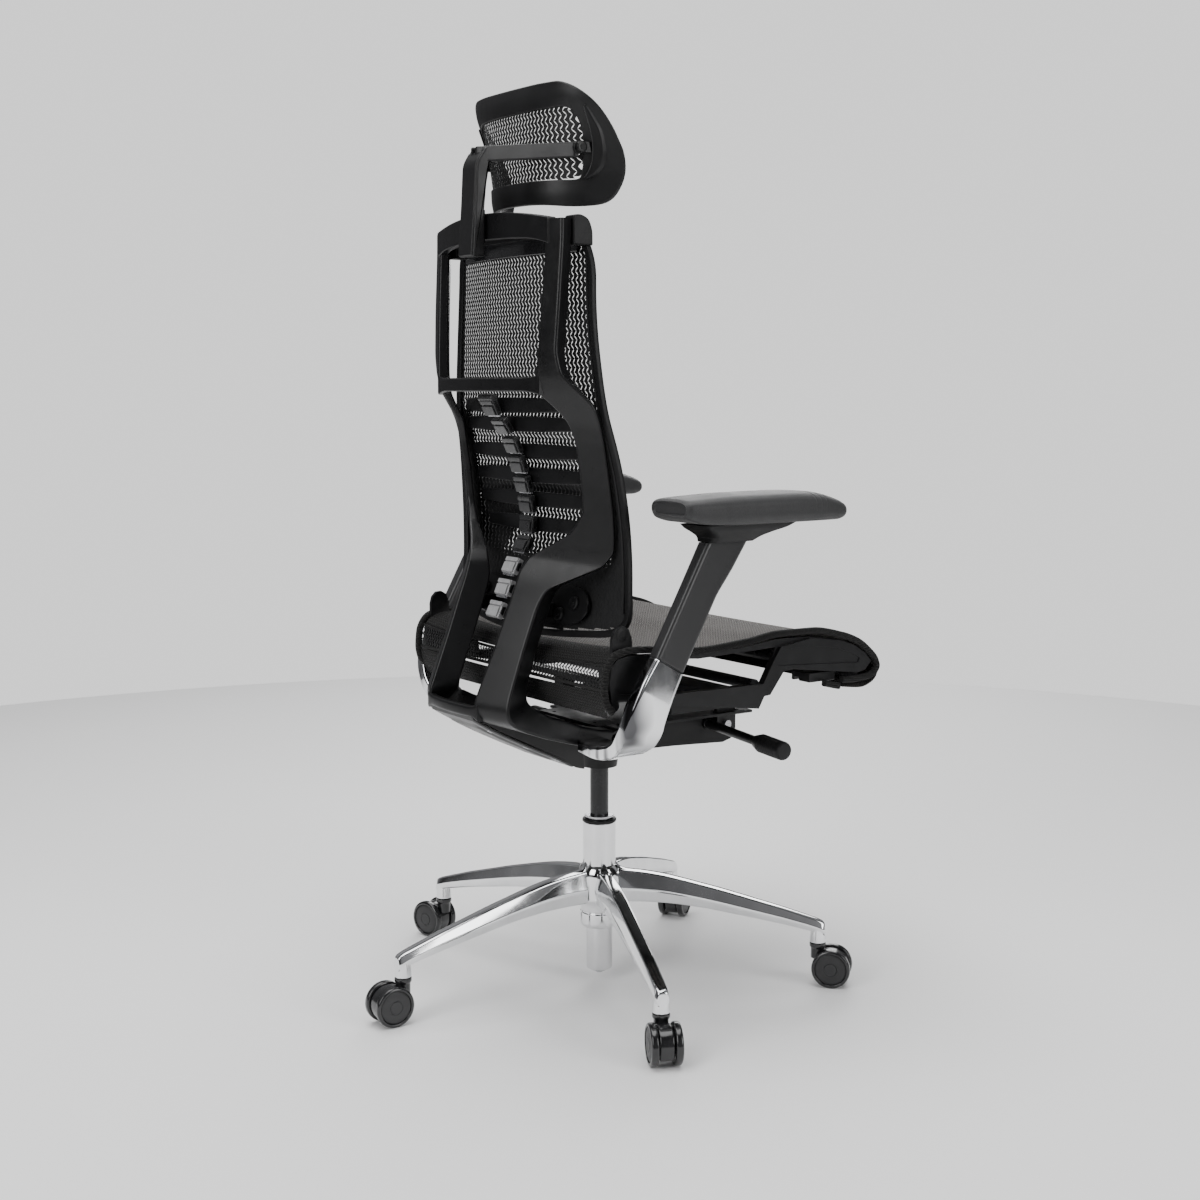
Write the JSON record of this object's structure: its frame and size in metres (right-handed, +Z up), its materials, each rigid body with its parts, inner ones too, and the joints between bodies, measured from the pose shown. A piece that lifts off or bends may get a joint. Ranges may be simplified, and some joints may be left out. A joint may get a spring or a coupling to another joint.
{
  "type": "swivel office chair",
  "caption": "Swivel office chair with mesh seat and back, adjustable headrest and arms, synchro tilt, gas lift and a polished star base on castors.",
  "frame": {"origin": "on the floor, on the axis of the swivel column", "axes": "+Z up, the sitter faces -Y, -X is the sitter's right"},
  "size_m": [0.7459, 0.7516, 1.3225],
  "materials": {
    "polished_metal": "mirror-polished die casting and plated steel tube",
    "steel": "ground steel",
    "black_plastic": "fine matte grain, moulded glass-filled nylon",
    "black_tube": "satin black coated steel",
    "castor_nylon": "half-gloss moulded nylon",
    "grey_plastic": "satin moulded, dark grey",
    "seat_piping": "padded woven edging, dark",
    "seat_weave": "dense elastic weave, grey-brown",
    "back_weave": "open knitted mesh, black",
    "arm_pad_skin": "soft moulded polyurethane, fine grain"
  },
  "bodies": {
    "base": {"base_star": "polished_metal", "stem_sleeves": "steel", "column_tube": "polished_metal", "guide_bush": "black_plastic", "column_ring": "black_plastic", "thrust_bearing": "steel"},
    "rod": {"piston_rod": "steel", "retaining_clip": "steel"},
    "chassis": {"gas_cylinder": "black_tube", "mechanism_housing": "black_plastic", "top_plate": "grey_plastic", "pivot_shafts": "steel", "tilt_spring": "steel"},
    "seat_tilt": {"seat_carrier": "grey_plastic"},
    "seat": {"seat_side_frames": "black_plastic", "seat_cross_tubes": "black_tube", "seat_rim": "seat_piping", "seat_mesh": "seat_weave", "front_clip": "grey_plastic"},
    "depth_paddle": {"depth_lever": "black_plastic"},
    "lever_right": {"lift_lever": "black_plastic"},
    "lever_left": {"tilt_lever": "black_plastic"},
    "grip": {"tension_grip": "black_plastic"},
    "back": {"back_frame": "black_plastic", "back_cover": "grey_plastic", "mesh_rim": "black_plastic", "back_mesh": "back_weave", "pelvic_support": "black_plastic", "pelvic_knobs": "black_plastic", "headrest_guide": "black_plastic", "arm_brackets": "polished_metal", "arm_inner_posts": "steel"},
    "spine": {"spine_links": "grey_plastic", "spine_ribs": "black_plastic"},
    "head_post": {"headrest_post": "black_plastic", "headrest_pins": "steel"},
    "headrest": {"headrest_frame": "black_plastic", "headrest_mesh": "back_weave", "headrest_brackets": "black_plastic"},
    "sleeve_right": {"arm_sleeve_right": "grey_plastic"},
    "carrier_right": {"pad_carrier_right": "black_plastic"},
    "pad_right": {"arm_pad_right": "arm_pad_skin"},
    "sleeve_left": {"arm_sleeve_left": "grey_plastic"},
    "carrier_left": {"pad_carrier_left": "black_plastic"},
    "pad_left": {"arm_pad_left": "arm_pad_skin"},
    "castor_1": {"castor_1_hood": "castor_nylon", "castor_1_pins": "steel"},
    "castor_1_pair": {"castor_1_wheels": "castor_nylon"},
    "castor_2": {"castor_2_hood": "castor_nylon", "castor_2_pins": "steel"},
    "castor_2_pair": {"castor_2_wheels": "castor_nylon"},
    "castor_3": {"castor_3_hood": "castor_nylon", "castor_3_pins": "steel"},
    "castor_3_pair": {"castor_3_wheels": "castor_nylon"},
    "castor_4": {"castor_4_hood": "castor_nylon", "castor_4_pins": "steel"},
    "castor_4_pair": {"castor_4_wheels": "castor_nylon"},
    "castor_5": {"castor_5_hood": "castor_nylon", "castor_5_pins": "steel"},
    "castor_5_pair": {"castor_5_wheels": "castor_nylon"}
  },
  "joints": [
    {"name": "seat_swivel", "type": "hinge", "parent": "base", "child": "rod", "pos_m": [0, 0, 0.1], "axis": [0, 0, 1], "continuous": true},
    {"name": "seat_lift", "type": "slide", "parent": "rod", "child": "chassis", "axis": [0, 0, 1], "range_m": [-0.065, 0.035]},
    {"name": "back_recline", "type": "hinge", "parent": "chassis", "child": "back", "pos_m": [0, 0.045, 0.4], "axis": [-1, 0, 0], "range_deg": [0, 20], "stiffness_Nm_per_rad": 90, "springref_deg": -20.05},
    {"name": "seat_synchro", "type": "hinge", "parent": "chassis", "child": "seat_tilt", "pos_m": [0, -0.172, 0.397], "axis": [-1, 0, 0], "range_deg": [0, 7]},
    {"name": "lift_lever_pull", "type": "hinge", "parent": "chassis", "child": "lever_right", "pos_m": [-0.0735, -0.146, 0.39848], "axis": [0, 1, 0], "range_deg": [0, 6], "stiffness_Nm_per_rad": 2, "springref_deg": -14.32},
    {"name": "tension_twist", "type": "hinge", "parent": "lever_right", "child": "grip", "pos_m": [-0.066, -0.146, 0.399], "axis": [-0.9976, 0, -0.0698], "continuous": true},
    {"name": "tilt_lever_pull", "type": "hinge", "parent": "chassis", "child": "lever_left", "pos_m": [0.0735, -0.146, 0.39848], "axis": [0, -1, 0], "range_deg": [0, 6]},
    {"name": "seat_depth", "type": "slide", "parent": "seat_tilt", "child": "seat", "axis": [0, -1, 0], "range_m": [0, 0.05]},
    {"name": "depth_paddle_pull", "type": "hinge", "parent": "seat_tilt", "child": "depth_paddle", "pos_m": [-0.1, -0.128, 0.436], "axis": [-1, 0, 0], "range_deg": [0, 10], "stiffness_Nm_per_rad": 0.6, "springref_deg": -14.32},
    {"name": "spine_flex", "type": "hinge", "parent": "back", "child": "spine", "pos_m": [0, 0.193, 0.8934], "axis": [1, 0, 0], "range_deg": [0, 3.5], "stiffness_Nm_per_rad": 60, "springref_deg": -2.86},
    {"name": "headrest_height", "type": "slide", "parent": "back", "child": "head_post", "axis": [0, 0, 1], "range_m": [0, 0.045]},
    {"name": "headrest_tilt", "type": "hinge", "parent": "head_post", "child": "headrest", "pos_m": [0, 0.119, 1.2335], "axis": [1, 0, 0], "range_deg": [-15, 15]},
    {"name": "arm_height_right", "type": "slide", "parent": "back", "child": "sleeve_right", "axis": [0, -0.4848, 0.8746], "range_m": [0, 0.075]},
    {"name": "pad_turn_right", "type": "hinge", "parent": "sleeve_right", "child": "carrier_right", "pos_m": [-0.2895, -0.005, 0.7118], "axis": [0, 0, 1], "range_deg": [-15, 15]},
    {"name": "pad_slide_right", "type": "slide", "parent": "carrier_right", "child": "pad_right", "axis": [0, -1, 0], "range_m": [0, 0.06]},
    {"name": "arm_height_left", "type": "slide", "parent": "back", "child": "sleeve_left", "axis": [0, -0.4848, 0.8746], "range_m": [-0.005, 0.07]},
    {"name": "pad_turn_left", "type": "hinge", "parent": "sleeve_left", "child": "carrier_left", "pos_m": [0.2895, -0.00742, 0.71617], "axis": [0, 0, 1], "range_deg": [-15, 15]},
    {"name": "pad_slide_left", "type": "slide", "parent": "carrier_left", "child": "pad_left", "axis": [0, -1, 0], "range_m": [-0.06, 0]},
    {"name": "castor_1_turn", "type": "hinge", "parent": "base", "child": "castor_1", "pos_m": [-0.3148, 0.11458, 0.06], "axis": [0, 0, 1], "continuous": true},
    {"name": "castor_1_roll", "type": "hinge", "parent": "castor_1", "child": "castor_1_pair", "pos_m": [-0.33474, 0.12387, 0.0295], "axis": [-0.4226, -0.9063, 0], "continuous": true},
    {"name": "castor_2_turn", "type": "hinge", "parent": "base", "child": "castor_2", "pos_m": [-0.20625, -0.26398, 0.06], "axis": [0, 0, 1], "continuous": true},
    {"name": "castor_2_roll", "type": "hinge", "parent": "castor_2", "child": "castor_2_pair", "pos_m": [-0.2226, -0.2787, 0.0295], "axis": [0.6691, -0.7431, 0], "continuous": true},
    {"name": "castor_3_turn", "type": "hinge", "parent": "base", "child": "castor_3", "pos_m": [0.18733, -0.27773, 0.06], "axis": [0, 0, 1], "continuous": true},
    {"name": "castor_3_roll", "type": "hinge", "parent": "castor_3", "child": "castor_3_pair", "pos_m": [0.19963, -0.29597, 0.0295], "axis": [0.829, 0.5592, 0], "continuous": true},
    {"name": "castor_4_turn", "type": "hinge", "parent": "base", "child": "castor_4", "pos_m": [0.32202, 0.09234, 0.06], "axis": [0, 0, 1], "continuous": true},
    {"name": "castor_4_roll", "type": "hinge", "parent": "castor_4", "child": "castor_4_pair", "pos_m": [0.34306, 0.09877, 0.0295], "axis": [-0.2924, 0.9563, 0], "continuous": true},
    {"name": "castor_5_turn", "type": "hinge", "parent": "base", "child": "castor_5", "pos_m": [0.01169, 0.3348, 0.06], "axis": [0, 0, 1], "continuous": true},
    {"name": "castor_5_roll", "type": "hinge", "parent": "castor_5", "child": "castor_5_pair", "pos_m": [0.01208, 0.35679, 0.0295], "axis": [-0.9998, 0.0175, 0], "continuous": true}
  ],
  "couplings": [
    {"joint": "seat_synchro", "follows": "back_recline", "ratio": 0.35}
  ]
}
